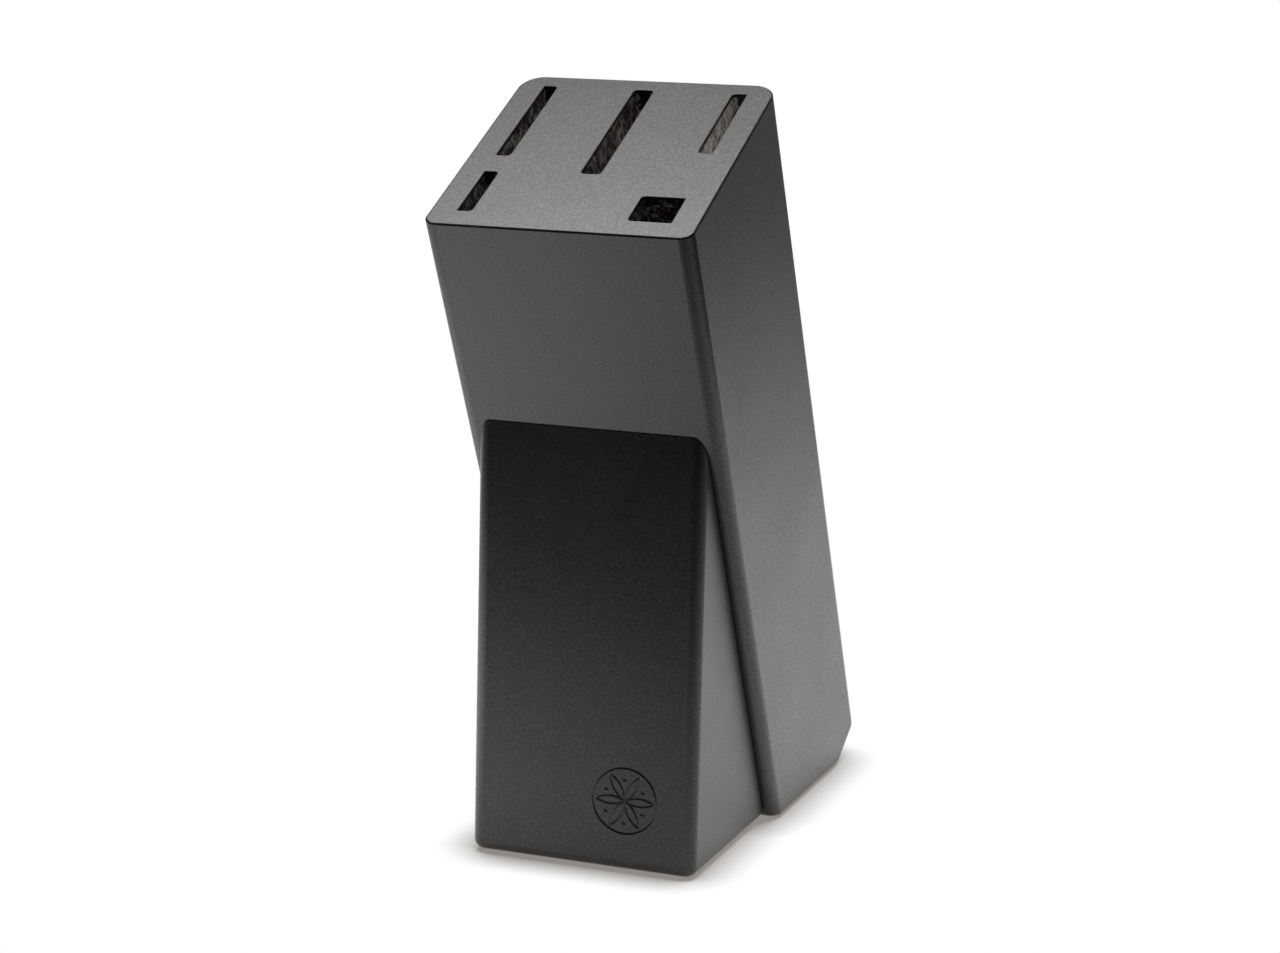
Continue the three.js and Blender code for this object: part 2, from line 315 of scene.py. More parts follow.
class KnifeBlockStudio(bpy.types.PropertyGroup):
    """Camera and light."""

    azimuth: FloatProperty(
        name="Azimuth",
        description="How far the camera stands round to the right of the front",
        default=math.radians(20.14),
        subtype="ANGLE",
    )
    elevation: FloatProperty(
        name="Elevation",
        description="How far the camera looks down",
        default=math.radians(10.50),
        subtype="ANGLE",
    )
    roll: FloatProperty(
        name="Roll",
        description="Turn of the camera about its line of sight",
        default=math.radians(1.486),
        subtype="ANGLE",
    )
    distance: FloatProperty(
        name="Distance",
        description="From the camera to the point that it looks at",
        default=0.9793,
        min=0.1,
        unit="LENGTH",
    )
    aim: FloatVectorProperty(
        name="Aim",
        description="Point that the camera looks at, from the middle of the block",
        default=(-10.39 * MM, 6.15 * MM, -10.18 * MM),
        subtype="TRANSLATION",
    )
    lens: FloatProperty(
        name="Lens",
        description="Focal length of the camera in millimetres",
        default=77.8,
        min=10,
    )
    softbox_brightness: FloatProperty(
        name="Softbox brightness",
        description="Brightness of the overhead softbox, where 1 is white",
        default=7.2,
        min=0,
    )
    softbox_place: FloatVectorProperty(
        name="Softbox place",
        description="Centre of the overhead softbox",
        default=(-0.17, 0.034, 0.95),
        subtype="TRANSLATION",
    )
    softbox_size: FloatVectorProperty(
        name="Softbox size",
        description="Width and depth of the overhead softbox",
        size=2,
        default=(0.59, 0.51),
        min=0.01,
        unit="LENGTH",
    )
    room: FloatProperty(
        name="Room",
        description="Brightness of the dark room round the table",
        default=0.02,
        min=0,
    )
    backdrop: FloatProperty(
        name="Backdrop",
        description="Brightness of the backdrop behind the table",
        default=0.40,
        min=0,
    )
    pool_brightness: FloatProperty(
        name="Pool brightness",
        description="Brightness of the lit part of the table, where 1 is white",
        default=1.15,
        min=0,
    )
    pool_front: FloatVectorProperty(
        name="Front of the pool",
        description="Between these two places in depth the table's light comes up",
        size=2,
        default=(-0.48, 0.12),
        unit="LENGTH",
    )
    pool_back: FloatVectorProperty(
        name="Back of the pool",
        description="Between these two places in depth the table's light fades",
        size=2,
        default=(0.50, 0.83),
        unit="LENGTH",
    )
    pool_side: FloatVectorProperty(
        name="Side of the pool",
        description="Between these two places to the right the table's light ends",
        size=2,
        default=(0.43, 0.60),
        unit="LENGTH",
    )
    far_light: FloatProperty(
        name="Far light",
        description="Share of the table's light that is left behind the pool",
        default=0.70,
        min=0,
        max=1,
        subtype="FACTOR",
    )
    glow_brightness: FloatProperty(
        name="Glow brightness",
        description="Extra brightness in the middle of the glow beside the block",
        default=4.0,
        min=0,
    )
    glow_centre: FloatVectorProperty(
        name="Glow centre",
        description="Middle of the glow on the table",
        size=2,
        default=(-0.23, -0.28),
        unit="LENGTH",
    )
    glow_radius: FloatProperty(
        name="Glow radius",
        description="How far the glow reaches",
        default=0.33,
        min=1 * MM,
        unit="LENGTH",
    )
    shadow_reach: FloatProperty(
        name="Shadow reach",
        description="How far the contact shadow spreads on the table",
        default=19.5 * MM,
        min=1 * MM,
        unit="LENGTH",
    )
    shadow_side: FloatVectorProperty(
        name="Shadow side",
        description="Direction that the light over the table comes from, away from the shadow",
        default=(0.08, 0.12, 0.99),
        subtype="DIRECTION",
    )
    shadow: FloatVectorProperty(
        name="Shadow",
        description="Colour of the table in the deepest contact shadow",
        subtype="COLOR",
        default=(0.27, 0.25, 0.23),
        min=0,
        max=1,
    )


class KnifeBlockSettings(bpy.types.PropertyGroup):
    """Everything that a user would change."""

    sizes: PointerProperty(type=KnifeBlockSizes)
    finish: PointerProperty(type=KnifeBlockFinish)
    studio: PointerProperty(type=KnifeBlockStudio)


# ---- Shader building --------------------------------------------------------------

MIX_FACTOR, MIX_FIRST, MIX_SECOND = 0, 6, 7  # sockets of a Mix node that mixes colours
MIX_RESULT = 2


class Wire:
    """A node's output that takes part in ordinary arithmetic."""

    def __init__(self, nodes, socket):
        self.nodes = nodes
        self.socket = socket

    def math(self, operation, *values):
        """A Math node's result for up to three values."""
        return self.nodes.add("ShaderNodeMath", {"operation": operation}, dict(enumerate(values)))

    def __add__(self, other):
        return self.math("ADD", self, other)

    __radd__ = __add__

    def __sub__(self, other):
        return self.math("SUBTRACT", self, other)

    def __rsub__(self, other):
        return self.math("SUBTRACT", other, self)

    def __mul__(self, other):
        return self.math("MULTIPLY", self, other)

    __rmul__ = __mul__

    def __pow__(self, other):
        return self.math("POWER", self, other)

    def sine(self):
        return self.math("SINE", self)

    def larger(self, other):
        return self.math("MAXIMUM", self, other)

    def swing(self, amount):
        """A pattern that runs from 0 to 1 made to swing about 0, as far as amount says."""
        return amount * (self - 0.5)

    def dot(self, direction):
        """The length of this vector along a direction."""
        settings = {"operation": "DOT_PRODUCT"}
        return self.nodes.add("ShaderNodeVectorMath", settings, {0: self, 1: direction}, "Value")

    def step(self, low, high):
        """0 up to low, 1 from high, and smooth between."""
        settings = {"interpolation_type": "SMOOTHSTEP"}
        values = {"Value": self, "From Min": low, "From Max": high}
        return self.nodes.add("ShaderNodeMapRange", settings, values)


class Nodes:
    """The node tree of one material or world."""

    def __init__(self, owner):
        owner.use_nodes = True
        self.owner = owner
        self.tree = owner.node_tree
        self.tree.nodes.clear()

    def add(self, kind, settings=None, values=None, output=0):
        """Adds a node: its settings first, then what its sockets hold or are linked to."""
        node = self.tree.nodes.new(kind)
        for name, value in (settings or {}).items():
            setattr(node, name, value)
        for name, value in (values or {}).items():
            if isinstance(value, Wire):
                self.tree.links.new(value.socket, node.inputs[name])
            else:
                node.inputs[name].default_value = value
        return Wire(self, node.outputs[output])

    def place(self):
        """Where a point lies on the piece at rest, in metres."""
        return self.add("ShaderNodeTexCoord", output="Object")

    def vector(self, x, y, z):
        return self.add("ShaderNodeCombineXYZ", values={0: x, 1: y, 2: z})

    def noise(self, place, scale=1.0, detail=2.0, roughness=0.5):
        """Noise from 0 to 1. The scale is its fineness, in grains per metre."""
        values = {"Vector": place, "Scale": scale, "Detail": detail, "Roughness": roughness}
        return self.add("ShaderNodeTexNoise", values=values)

    def drawn_out(self, axes, fineness, detail=2.0, roughness=0.5):
        """Noise with a fineness of its own along each of three axes, in grains per metre."""
        place = self.vector(*(axis * fine for axis, fine in zip(axes, fineness, strict=True)))
        return self.noise(place, detail=detail, roughness=roughness)

    def mix(self, factor, first, second):
        """A colour between two colours."""
        values = {MIX_FACTOR: factor, MIX_FIRST: first, MIX_SECOND: second}
        return self.add("ShaderNodeMix", {"data_type": "RGBA"}, values, MIX_RESULT)

    def grey(self, level):
        """A neutral colour of the given brightness."""
        settings = {"operation": "SCALE"}
        return self.add("ShaderNodeVectorMath", settings, {0: (1, 1, 1), "Scale": level})

    def bump(self, height, depth, under=None):
        """Relief of the given depth in metres, over the relief that is already there."""
        values = {"Height": height, "Distance": depth, "Strength": 1.0}
        if under:
            values["Normal"] = under
        return self.add("ShaderNodeBump", values=values)

    def principled(self, values):
        return self.shown(self.add("ShaderNodeBsdfPrincipled", values=values))

    def shown(self, shader, kind="ShaderNodeOutputMaterial"):
        """Links a shader to the output and gives back the finished material or world."""
        self.tree.links.new(shader.socket, self.tree.nodes.new(kind).inputs["Surface"])
        return self.owner


def tone(colour, amount=1.0):
    """A colour with its brightness changed, ready for a colour socket."""
    return (*(channel * amount for channel in colour), 1.0)


# ---- Materials --------------------------------------------------------------------

RING_WIDTH = 2.6 * MM  # from one year ring of the beech to the next
RING_WAVER = 9  # how far the rings waver, in radians
PORE_LEVELS = (0.64, 0.74)  # noise between these levels opens into a pore
COAT_LEVEL = 0.40  # speckle below this level is bare of gloss
CUTTER_SLANTS = (math.radians(38), math.radians(-22))  # strokes on a channel wall, from the grain
BARE_AND_LIT_LEVELS = (0.57, 0.71)  # between these levels the pale streaks show: bare wood through the stain, made paler by painted light
HALVES_BLEND = 5 * MM  # on each side of a board's middle, its two halves' paleness blends
DARK_RIM_HEIGHTS = (-1.3 * MM, -0.8 * MM)  # the dark band just inside the mouth ends between these heights, from the mouth
DARK_RIM_RUNS = 0.9 * MM  # how far that end wanders up and down
FLECK_LEVELS = (0.60, 0.68)  # noise between these levels turns into a dark fleck of beech


def black_lacquer(name, finish, grain, pith):
    """Satin black lacquer on beech. The grain's direction and the distances across and
    in depth from the pith of the tree set how the wood under it runs."""
    nodes = Nodes(bpy.data.materials.new(name))
    place = nodes.place()
    side = Vector(grain).cross(ACROSS)
    axes = [place.dot(axis) for axis in (ACROSS, side, grain)]
    across, depth = axes[:2]

    wander = nodes.drawn_out(axes, (60, 60, 9), detail=3)
    radius = ((across - pith[0]) ** 2 + (depth - pith[1]) ** 2) ** 0.5
    rings = (radius * (math.tau / RING_WIDTH) + wander * RING_WAVER).sine()
    fibre = nodes.drawn_out(axes, (1400, 1400, 55), detail=3)
    pores = nodes.drawn_out(axes, (3800, 3800, 420)).step(*PORE_LEVELS)
    clouds = nodes.noise(place, scale=24, detail=3)
    speckle = nodes.drawn_out(axes, (1900, 1045, 1900), roughness=0.75)
    peel = nodes.noise(place, scale=520, detail=1)

    shade = 0.5 + 0.06 * rings + fibre.swing(0.5) + clouds.swing(0.5) + speckle.swing(2.4)
    relief = nodes.bump(peel, 0.010 * MM)
    relief = nodes.bump(fibre - 0.6 * pores, 0.010 * MM, relief)
    relief = nodes.bump(speckle, 0.030 * MM, relief)
    sheen = finish.lacquer_roughness
    return nodes.principled(
        {
            "Base Color": nodes.mix(shade, tone(finish.lacquer, 0.5), tone(finish.lacquer, 1.5)),
            "Roughness": sheen + clouds.swing(0.10) + speckle.swing(0.16) + 0.1 * pores,
            "IOR": finish.lacquer_ior,
            "Coat Weight": 2.0 * (speckle - COAT_LEVEL),
            "Coat Roughness": sheen,
            "Normal": relief,
        }
    )


def milled_wood(name, finish, paleness, grain=GRAIN, mouth=None):
    """Beech as the cutter left it: strokes at two slants show pale through a dark stain,
    more or fewer of them in front of and behind the board's middle. Their near-white colour
    is partly painted light, for walls that the lamps barely reach. Just inside the mouth,
    which is a height along the grain, the walls stay dark, without the streaks."""
    nodes = Nodes(bpy.data.materials.new(name))
    place = nodes.place()
    side = Vector(grain).cross(ACROSS)
    axes = [place.dot(axis) for axis in (ACROSS, side, grain)]
    across, depth, along = axes

    strokes = []
    for slant in CUTTER_SLANTS:
        sine, cosine = math.sin(slant), math.cos(slant)
        turned_axes = (across, depth * cosine - along * sine, along * cosine + depth * sine)
        strokes.append(nodes.drawn_out(turned_axes, (300, 2400, 150), detail=3, roughness=0.6))
    tooled = strokes[0].larger(strokes[1])
    hairs = nodes.drawn_out(axes, (900, 5200, 420))
    blotches = nodes.noise(place, scale=170, detail=3)

    front, rear = paleness
    rearward = depth.step(BODY_MIDDLE - HALVES_BLEND, BODY_MIDDLE + HALVES_BLEND)
    bare_and_lit = tooled + hairs.swing(0.45) + blotches.swing(0.4) + front + (rear - front) * rearward
    bare_and_lit = bare_and_lit.step(*BARE_AND_LIT_LEVELS)
    # A narrow dark band without pale streaks runs just inside the mouth.
    if mouth is not None:
        run = nodes.noise(place, scale=700)
        bare_and_lit = bare_and_lit * (1 - (along - mouth + run.swing(DARK_RIM_RUNS)).step(*DARK_RIM_HEIGHTS))
    return nodes.principled(
        {
            # painted light: the streaks take the near-white colour, so that the dim walls look lit
            "Base Color": nodes.mix(bare_and_lit, tone(finish.milled), tone(finish.scuffed_and_lit)),
            "Roughness": 0.72 + blotches.swing(0.2),
            "Normal": nodes.bump(tooled + 0.5 * hairs, 0.12 * MM),
        }
    )


def raw_beech(name, finish):
    """Pale beech with the short dark flecks of its rays. The dowels lie along the depth."""
    nodes = Nodes(bpy.data.materials.new(name))
    place = nodes.place()
    axes = [place.dot(axis) for axis in (ACROSS, DEPTH, GRAIN)]
    fibre = nodes.drawn_out(axes, (1800, 90, 1800), detail=3)
    flecks = nodes.drawn_out(axes, (2600, 500, 700)).step(*FLECK_LEVELS)
    shade = 0.5 + fibre.swing(0.9) - 0.35 * flecks
    return nodes.principled(
        {
            "Base Color": nodes.mix(shade, tone(finish.beech, 0.62), tone(finish.beech, 1.25)),
            "Roughness": 0.62 + fibre.swing(0.25),
            "Normal": nodes.bump(fibre - 0.4 * flecks, 0.04 * MM),
        }
    )


def black_rubber(name, finish):
    """Matt moulded rubber, a little dusty."""
    nodes = Nodes(bpy.data.materials.new(name))
    place = nodes.place()
    grit = nodes.noise(place, scale=3200)
    dust = nodes.noise(place, scale=220, detail=3)
    return nodes.principled(
        {
            "Base Color": nodes.mix(dust, tone(finish.rubber, 0.7), tone(finish.rubber, 1.8)),
            "Roughness": 0.78 + dust.swing(0.2) + grit.swing(0.1),
            "Normal": nodes.bump(grit, 0.02 * MM),
        }
    )


def zinc_plate(name, finish):
    """Bright zinc plating, clouded and lightly scratched by turning."""
    nodes = Nodes(bpy.data.materials.new(name))
    place = nodes.place()
    clouds = nodes.noise(place, scale=600, detail=3)
    marks = nodes.noise(nodes.vector(place.dot(ACROSS) * 900, place.dot(UP) * 9000, 0))
    return nodes.principled(
        {
            "Base Color": nodes.mix(clouds, tone(finish.zinc, 0.75), tone(finish.zinc, 1.15)),
            "Metallic": 1.0,
            "Roughness": 0.3 + clouds.swing(0.25) + marks.swing(0.12),
            "Normal": nodes.bump(marks, 0.006 * MM),
        }
    )


# ---- Mesh work --------------------------------------------------------------------


def bench_copy(node):
    """A node's solid as an editable mesh, with shared corners and whole flat faces."""
    made = bmesh.new()
    made.from_mesh(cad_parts[node].data)
    bmesh.ops.remove_doubles(made, verts=made.verts, dist=SAME_POINT)
    bmesh.ops.dissolve_limit(made, angle_limit=FLAT, verts=made.verts, edges=made.edges)
    for face in made.faces:
        face.material_index = OUTSIDE
    return made


def flat_ground(face):
    """The face and all that lies level with it and joins on to it."""
    ground, ends = {face}, [face]
    while ends:
        for edge in ends.pop().edges:
            if len(edge.link_faces) == 2 and edge.calc_face_angle() < FLAT:
                new = set(edge.link_faces) - ground
                ground |= new
                ends.extend(new)
    return ground


def smooth_rounds(made):
    """Rounded faces are shaded smooth, and wide flat ones stay flat up to their edges."""
    for edge in made.edges:
        edge.smooth = edge.calc_face_angle(0) < SHARP
    left = set(made.faces)
    while left:
        ground = flat_ground(next(iter(left)))
        curved = sum(face.calc_area() for face in ground) < LEAST_FLAT
        for face in ground:
            face.smooth = curved
        left -= ground


def finished(made, name, node, materials):
    """Turns an edited mesh into a piece that stands for a node and rides on the block."""
    smooth_rounds(made)
    mesh = bpy.data.meshes.new(name)
    made.to_mesh(mesh)
    made.free()
    for material in materials:
        mesh.materials.append(material)
    piece = bpy.data.objects.new(name, mesh)
    bpy.context.scene.collection.objects.link(piece)
    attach(piece, ROOT)
    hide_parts(node)
    return piece


def mark_milled(made, corners):
    """Faces with wood in front of them aren't on the outside: the cutter made them."""
    for face in made.faces:
        heights = (corners - np.array(face.verts[0].co)) @ np.array(face.normal)
        if heights.max() > ON_FACE:
            face.material_index = MILLED


def lacquer_ends(made):
    """The narrow walls that close a blade's channel in front and behind take the black lacquer, so
    they are dark.
    """
    for face in made.faces:
        places = [vertex.co.x for vertex in face.verts]
        narrow = max(places) - min(places) < NARROW
        if narrow and face.material_index == MILLED and abs(face.normal.dot(DEPTH)) > PARALLEL:
            face.material_index = OUTSIDE


def faces_grain(face):
    return face.normal.dot(GRAIN) > PARALLEL


def is_joint(face, node):
    """Whether a face of a board is one that is glued to the next board."""
    low, high = boxes[node]
    place = face.verts[0].co.x
    return abs(face.normal.x) > PARALLEL and min(abs(place - low.x), abs(place - high.x)) < ON_FACE


def mouth_edges(made, node):
    """The edges between a core's top and the walls of its channels."""
    found = []
    for edge in made.edges:
        tops = [face for face in edge.link_faces if faces_grain(face)]
        walls = [face for face in edge.link_faces if face.material_index == MILLED]
        if len(tops) == 1 and len(walls) == 1 and not is_joint(walls[0], node):
            found.append(edge)
    return found


def joint_spans(made, node, joint):
    """Front and back, in depth, of each channel mouth that opens on a glued joint."""
    depths = set()
    for edge in mouth_edges(made, node):
        for vertex in edge.verts:
            if abs(vertex.co.x - joint) < ON_FACE:
                depths.add(round(vertex.co.dot(DEPTH), 6))  # two edges end at each, to the micron
    depths = sorted(depths)
    return list(zip(depths[::2], depths[1::2]))


def cheek_mouths(made, node, joint, spans):
    """Cuts the channel mouths into the edge between a cheek's top and its glued face, and
    returns those stretches of the edge."""
    for depth in (end for span in spans for end in span):
        faces = [face for face in made.faces if faces_grain(face) or is_joint(face, node)]
        geometry = {part for face in faces for part in (face, *face.edges, *face.verts)}
        bmesh.ops.bisect_plane(
            made, geom=list(geometry), dist=SAME_POINT / 4, plane_co=DEPTH * depth, plane_no=DEPTH
        )
    found = []
    for edge in made.edges:
        middle = (edge.verts[0].co + edge.verts[1].co) / 2
        on_top = any(faces_grain(face) for face in edge.link_faces)
        on_joint = abs(middle.x - joint) < ON_FACE and any(
            is_joint(face, node) for face in edge.link_faces
        )
        inside = any(front < middle.dot(DEPTH) < back for front, back in spans)
        if on_top and on_joint and inside:
            found.append(edge)
    return found


def ease_front_edge(made, side, radius):
    """Rounds the long front edge of a cheek further than its solid, as sanding does. The
    side is the place across of the cheek's outer face."""
    outward = math.copysign(1, side)
    for vertex in made.verts:
        across = (side - vertex.co.x) * outward
        depth = vertex.co.dot(DEPTH) - BODY_FRONT
        if max(across, depth) < FRONT_EDGE + SAME_POINT:  # on the rounded edge
            arm = Vector((FRONT_EDGE - across, FRONT_EDGE - depth))
            arm *= (arm.length + radius - FRONT_EDGE) / arm.length
            height = vertex.co.z
            vertex.co.x = side - (radius - arm.x) * outward
            vertex.co += DEPTH * (radius - arm.y - depth)
            if height < BODY_HALFWAY:  # the base is level, so its corners keep their height
                vertex.co += GRAIN * ((height - vertex.co.z) / GRAIN.z)


def inner_corners(made):
    """The edges along the grain where two walls of a channel meet."""
    found = []
    for edge in made.edges:
        run = (edge.verts[1].co - edge.verts[0].co).normalized()
        milled = all(face.material_index == MILLED for face in edge.link_faces)
        if milled and abs(run.dot(GRAIN)) > PARALLEL and edge.calc_face_angle_signed() < -SHARP:
            found.append(edge)
    return found


def soften(made, edges, width, material=OUTSIDE):
    """Rounds edges, and gives the rounded strips a material."""
    bmesh.ops.bevel(
        made,
        geom=edges,
        offset=width,
        offset_type="OFFSET",
        segments=3,
        profile=0.5,
        affect="EDGES",
        clamp_overlap=False,
        material=material,
    )


def turned(profile, steps, closed=False):
    """A mesh turned about z from points of radius and height."""
    made = bmesh.new()
    points = [made.verts.new((radius, 0, height)) for radius, height in profile]
    pairs = list(zip(points, points[1:]))
    if closed:
        pairs.append((points[-1], points[0]))
    lines = [made.edges.new(pair) for pair in pairs]
    bmesh.ops.spin(
        made,
        geom=points + lines,
        axis=UP,
        cent=(0, 0, 0),
        angle=math.tau,
        steps=steps,
        use_merge=True,
    )
    bmesh.ops.remove_doubles(made, verts=made.verts, dist=SAME_POINT)
    bmesh.ops.recalc_face_normals(made, faces=made.faces)
    return made


def set_down(made, node):
    """Moves a mesh that stands on the origin to where the node stands."""
    low, high = boxes[node]
    made.transform(Matrix.Translation(((low.x + high.x) / 2, (low.y + high.y) / 2, low.z)))


def arc(centre, radius, start, end, steps):
    """Points on an arc in a profile, with angles in degrees."""
    angles = (math.radians(start + (end - start) * i / steps) for i in range(steps + 1))
    return [(centre[0] + radius * math.cos(a), centre[1] + radius * math.sin(a)) for a in angles]


# ---- Roundel ----------------------------------------------------------------------

RINGS = 84  # rows of the roundel's mesh, from the rim to the centre
SPOKES = 336  # and columns round it
PETALS = 6
RING_SETBACK = 1.2  # from the rim to the middle of the ring, in halves of a line's width
WHEEL_SHARE = 0.86  # radius of the rosette's arcs, as a share of the roundel's
DOT_SHARE = 0.74  # from the centre to a dot, as a share of the rosette's radius


def roundel_mark(across, up, sizes):
    """How far the roundel is pressed in at a point, from 0 to 1. A ring holds a
    compass-drawn rosette, with a dot between each two petals."""
    half = sizes.roundel_line / 2
    wheel = WHEEL_SHARE * sizes.roundel_radius
    ring = DOT_SHARE * wheel
    radius = math.hypot(across, up)
    lines = [abs(radius - sizes.roundel_radius + RING_SETBACK * half)]
    for petal in range(PETALS):
        turn = math.tau * petal / PETALS
        if radius < wheel:
            reach = math.hypot(across - wheel * math.cos(turn), up - wheel * math.sin(turn))
            lines.append(abs(reach - wheel))
        between = turn + math.tau / PETALS / 2
        dot = math.hypot(across - ring * math.cos(between), up - ring * math.sin(between))
        lines.append(max(dot - half, 0))
    nearest = min(min(lines) / half, 1)
    return 0.5 + 0.5 * math.cos(math.pi * nearest)


def press_roundel(made, sizes):
    """Lets a finely meshed disc, pressed with the roundel, into the front of the foot."""
    fronts = [face for face in made.faces if face.normal.y < -PARALLEL]
    front = max(fronts, key=lambda face: face.calc_area())
    low, high = boxes[FOOT]
    centre = Vector((high.x - sizes.roundel_side, front.verts[0].co.y, low.z + sizes.roundel_height))
    outline = list(front.edges)
    bmesh.ops.delete(made, geom=[front], context="FACES_ONLY")

    rings = []
    for ring in range(RINGS):
        radius = sizes.roundel_radius * (1 - ring / RINGS)
        row = []
        for spoke in range(SPOKES):
            turn = math.tau * spoke / SPOKES
            across, up = radius * math.cos(turn), radius * math.sin(turn)
            pressed = sizes.roundel_depth * roundel_mark(across, up, sizes) if ring else 0
            row.append(made.verts.new(centre + Vector((across, pressed, up))))
        rings.append(row)
    for outer, inner in zip(rings, rings[1:]):
        for spoke in range(SPOKES):
            after = (spoke + 1) % SPOKES
            made.faces.new((outer[spoke], outer[after], inner[after], inner[spoke]))
    deepest = sizes.roundel_depth * roundel_mark(0, 0, sizes)
    hub = made.verts.new(centre + Vector((0, deepest, 0)))
    last = rings[-1]
    for spoke in range(SPOKES):
        made.faces.new((last[spoke], last[(spoke + 1) % SPOKES], hub))
    rim = [made.edges.get((a, b)) for a, b in zip(rings[0], rings[0][1:] + rings[0][:1])]
    bmesh.ops.triangle_fill(made, edges=outline + rim, use_beauty=True, normal=(0, -1, 0))


# ---- Dowels, pads and screws ------------------------------------------------------

ROUND_STEPS = 96  # facets round a pad, and a screw has half as many
DOWEL_ROWS = 24  # rows of facets along a dowel
FLUTE_STEPS = 8  # facets to each flute of a dowel


def fluted_dowel(node, sizes):
    """A chamfered dowel with flutes along it that let the glue out."""
    low, high = boxes[node]
    radius = (high.x - low.x) / 2
    start, end = span_along(node, DEPTH)
    length = end - start
    chamfer = sizes.dowel_chamfer
    row = (length - 2 * chamfer) / DOWEL_ROWS
    body = [(radius, chamfer + row * i) for i in range(DOWEL_ROWS + 1)]
    profile = [(0, 0), (radius - chamfer, 0), *body, (radius - chamfer, length), (0, length)]
    made = turned(profile, FLUTE_STEPS * sizes.dowel_flutes)
    for vertex in made.verts:
        reach = math.hypot(vertex.co.x, vertex.co.y)
        if reach > radius - SAME_POINT:
            turn = math.atan2(vertex.co.y, vertex.co.x)
            groove = (0.5 - 0.5 * math.cos(turn * sizes.dowel_flutes)) ** 2
            vertex.co.xy *= 1 - groove * sizes.flute_depth / radius
    middle = (low + high) / 2
    stand = Matrix.Translation((0, 0, -length / 2))
    lay = UP.rotation_difference(DEPTH).to_matrix().to_4x4()
    made.transform(Matrix.Translation(middle) @ lay @ stand)
    return made


def moulded_pad(node, screw, sizes):
    """A rubber pad with a rounded lower edge and a countersunk bore for its screw."""
    low, high = boxes[node]
    head_low, head_high = boxes[screw]
    radius, height = (high.x - low.x) / 2, high.z - low.z
    bore = sizes.shank_diameter / 2 + sizes.fit
    head = (head_high.x - head_low.x) / 2 + sizes.fit
    sink = head_low.z - low.z + sizes.fit
    edge = sizes.pad_edge
    lip = 0.25 * MM  # small radius round the countersink and the upper edge
    profile = [
        (head, lip),
        *arc((head + lip, lip), lip, 180, 270, 4)[1:],
        *arc((radius - edge, edge), edge, -90, 0, 10),
        *arc((radius - lip, height - lip), lip, 0, 90, 4),
        (bore, height),
        (bore, sink + head - bore),
        (head, sink),
    ]
    made = turned(profile, ROUND_STEPS, closed=True)
    set_down(made, node)
    return made


HEAD_RIM = 0.3 * MM  # straight rim of the head below its countersink
HEAD_BREAK = 0.1 * MM  # broken edge of that rim
HEAD_FIELD = 0.75  # the cross is cut into a disc of this share of the head's radius
TIP = 3 * MM  # length of the point
CROSS_ARM = (0.45 * MM, 1.8 * MM)  # half width and half length of the driver's cross
CROSS_DEPTH = 1.1 * MM
CROSS_TAPER = 0.55  # size of the cross at its floor
THREAD_STEPS = 9  # rows to a turn of the thread
CREST_POWER = 3  # the higher, the thinner the crest of the thread


def cross_outline(scale, height):
    """The twelve corners of the driver's cross."""
    half, reach = CROSS_ARM
    quarter = [(half, half), (half, reach), (-half, reach)]
    turns = [Matrix.Rotation(math.radians(90 * i), 2) for i in range(4)]
    corners = [turn @ Vector(corner) for turn in turns for corner in quarter]
    return [Vector((*(corner * scale), height)) for corner in corners]


def cut_cross(made, rim):
    """Closes the head between its rim and a tapered recess for the driver."""
    mouth = [made.verts.new(corner) for corner in cross_outline(1, 0)]
    floor = [made.verts.new(corner) for corner in cross_outline(CROSS_TAPER, CROSS_DEPTH)]
    for i, corner in enumerate(mouth):
        after = (i + 1) % len(mouth)
        made.faces.new((corner, mouth[after], floor[after], floor[i]))
    made.faces.new(floor)
    outline = [made.edges.get((a, b)) for a, b in zip(mouth, mouth[1:] + mouth[:1])]
    bmesh.ops.triangle_fill(made, edges=rim + outline, use_beauty=True, normal=(0, 0, -1))
    bmesh.ops.recalc_face_normals(made, faces=made.faces)


def wood_screw(node, sizes):
    """A countersunk screw, head down, with a rolled thread and a gimlet point."""
    low, high = boxes[node]
    head = (high.x - low.x) / 2
    length = high.z - low.z
    core = sizes.shank_diameter / 2 - sizes.thread_depth
    shank = HEAD_RIM + head - core
    rows = round((length - shank) / sizes.thread_pitch * THREAD_STEPS)
    heights = [shank + (length - shank) * i / rows for i in range(rows)]
    profile = [(HEAD_FIELD * head, 0), (head - HEAD_BREAK, 0), (head, HEAD_BREAK), (head, HEAD_RIM)]
    profile += [(core * min(1, (length - height) / TIP), height) for height in heights]
    made = turned([*profile, (0, length)], ROUND_STEPS // 2)
    for vertex in made.verts:
        reach = math.hypot(vertex.co.x, vertex.co.y)
        if vertex.co.z < shank or reach < SAME_POINT:
            continue
        turn = math.atan2(vertex.co.y, vertex.co.x) / math.tau
        phase = (vertex.co.z - shank) / sizes.thread_pitch - turn
        crest = max(0, math.cos(math.tau * phase)) ** CREST_POWER
        taper = min(1, (vertex.co.z - shank) / sizes.thread_pitch, (length - vertex.co.z) / TIP)
        vertex.co.xy *= 1 + crest * taper * sizes.thread_depth / reach
    rim = [edge for edge in made.edges if len(edge.link_faces) == 1]
    cut_cross(made, rim)
    set_down(made, node)
    return made


# ---- Stage ------------------------------------------------------------------------

TABLE_REACH = 6  # metres from the middle of the table to its sides
TABLE_DROP = 0.05 * MM  # between the pads and the table, so that no two faces coincide
SHADOW_SAMPLES = 32
SKY_SHUT = 0.38  # where this share of the sky is open, the contact shadow is deepest
SKY_CLEARING = 1.85  # how fast it fades as more of the sky opens
BACKDROP_RISE = (0.75, 0.95)  # cosines from straight back between which the backdrop rises


def straight(nodes):
    """1 where the camera sees a surface, directly or through glass, and 0 for other rays."""
    rays = ("Is Camera Ray", "Is Transmission Ray")
    camera, through = (nodes.add("ShaderNodeLightPath", output=ray) for ray in rays)
    return camera.larger(through)


